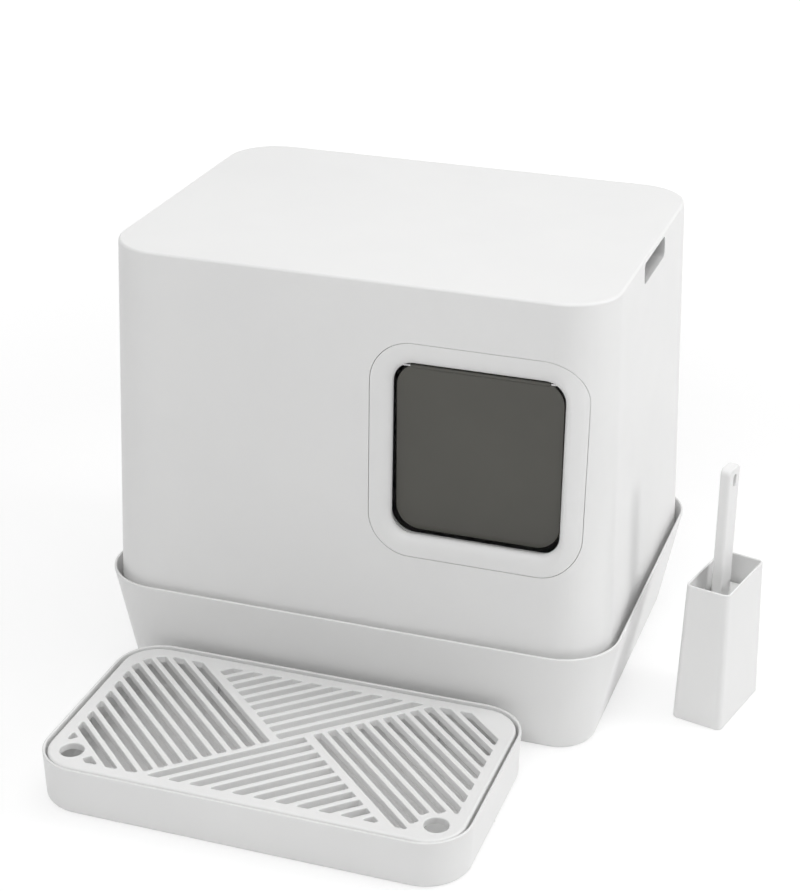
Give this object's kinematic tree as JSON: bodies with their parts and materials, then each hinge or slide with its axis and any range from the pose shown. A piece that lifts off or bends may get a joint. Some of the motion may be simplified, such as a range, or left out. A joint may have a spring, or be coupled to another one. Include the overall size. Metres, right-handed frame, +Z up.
{
  "type": "hooded litter box",
  "caption": "Hooded cat litter box with a framed swing flap, a step tray with a slotted litter catching grid, and a scoop in its holder.",
  "frame": {"origin": "on the floor under the middle of the base tray", "axes": "+X to the right seen from the front, +Y towards the back, +Z up"},
  "size_m": [0.7062, 0.6917, 0.507],
  "materials": {
    "white_plastic": "satin",
    "flap_plastic": "satin",
    "steel": "brushed"
  },
  "bodies": {
    "ground_set": {"base_tray": "white_plastic", "step_tray": "white_plastic", "scoop_holder": "white_plastic"},
    "hood": {"hood_shell": "white_plastic", "door_bezel": "white_plastic", "door_inner_ring": "white_plastic", "door_ring_screws": "steel", "flap_hinge_rod": "steel"},
    "flap": {"flap_panel": "flap_plastic"},
    "grid": {"litter_grid": "white_plastic"},
    "scoop": {"scoop_head": "white_plastic", "scoop_handle": "white_plastic"}
  },
  "joints": [
    {"name": "hood_lift", "type": "slide", "parent": "ground_set", "child": "hood", "axis": [0, 0, 1], "range_m": [0, 0.1588]},
    {"name": "flap_swing", "type": "hinge", "parent": "hood", "child": "flap", "pos_m": [0.1398, -0.18852, 0.41812], "axis": [1, 0, 0], "range_deg": [-75, 75]},
    {"name": "grid_lift", "type": "slide", "parent": "ground_set", "child": "grid", "axis": [0, 0, 1], "range_m": [0, 0.147]},
    {"name": "scoop_lift", "type": "slide", "parent": "ground_set", "child": "scoop", "axis": [0, 0, 1], "range_m": [0, 0.205]}
  ]
}
